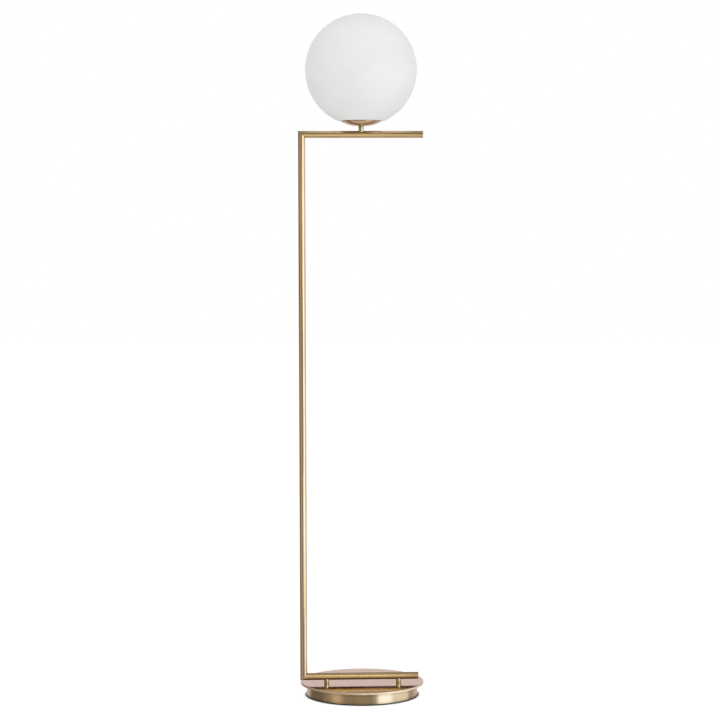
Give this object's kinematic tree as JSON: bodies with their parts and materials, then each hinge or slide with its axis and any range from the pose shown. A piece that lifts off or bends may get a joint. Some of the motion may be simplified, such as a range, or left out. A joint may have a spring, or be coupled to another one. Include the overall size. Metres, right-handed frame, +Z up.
{
  "type": "globe floor lamp",
  "caption": "Floor lamp with an opal glass ball on a small brass dish, carried over a round weighted base by a slim C-shaped brass tube frame.",
  "frame": {"origin": "on the lamp's vertical axis, through the globe and the base, at floor level", "axes": "+Z up; +X along the arms, away from the post; +Y to the back, where the cord inlet is"},
  "size_m": [0.338, 0.351, 1.8498],
  "materials": {
    "opal_glass": "satin opal white",
    "satin_brass": "fine brushed, satin lacquer",
    "polished_brass": "polished nearly to a mirror",
    "clear_silicone": "soft",
    "spring_steel": "bright strip",
    "zinc_steel": "zinc plated",
    "cast_iron": "as cast, black primer",
    "black_rubber": "matt",
    "white_nylon": "moulded",
    "contact_brass": "bright",
    "clear_lead": "smooth sheath",
    "black_holder": "moulded",
    "white_ceramic": "glazed",
    "plated_cap": "bright",
    "black_insulator": "moulded glass",
    "white_bulb_body": "moulded",
    "frosted_glass": "frosted",
    "white_board": "white solder mask"
  },
  "bodies": {
    "stand": {"globe_dish": "satin_brass", "globe_gasket": "clear_silicone", "globe_spring": "spring_steel", "stem": "satin_brass", "stem_nipple": "zinc_steel", "top_arm": "satin_brass", "post": "satin_brass", "bottom_arm": "satin_brass", "end_caps": "satin_brass", "pegs": "satin_brass", "peg_nipples": "zinc_steel", "saddle_nuts": "zinc_steel", "nipple_nuts": "zinc_steel", "nipple_washers": "zinc_steel", "base_plate": "polished_brass", "base_drum": "satin_brass", "base_weight": "cast_iron", "bottom_cover": "zinc_steel", "cover_screws": "zinc_steel", "base_pad": "black_rubber", "inlet_grommet": "black_rubber", "terminal_block": "white_nylon", "terminal_screws": "contact_brass", "block_screw": "zinc_steel", "inner_lead": "clear_lead", "holder_cap": "black_holder", "holder_skirt": "black_holder", "holder_insert": "white_ceramic", "holder_screws": "contact_brass", "screw_shell": "contact_brass", "centre_contact": "contact_brass"},
    "globe": {"glass_globe": "opal_glass"},
    "bulb": {"bulb_contact": "plated_cap", "bulb_insulator": "black_insulator", "bulb_cap": "plated_cap", "bulb_body": "white_bulb_body", "bulb_glass": "frosted_glass", "led_board": "white_board"}
  },
  "joints": [
    {"name": "globe_lift", "type": "slide", "parent": "stand", "child": "globe", "axis": [0, 0, 1], "range_m": [0, 0.16]},
    {"name": "bulb_turn", "type": "hinge", "parent": "stand", "child": "bulb", "pos_m": [0, 0, 1.617], "axis": [0, 0, 1], "range_deg": [0, 1080]}
  ]
}
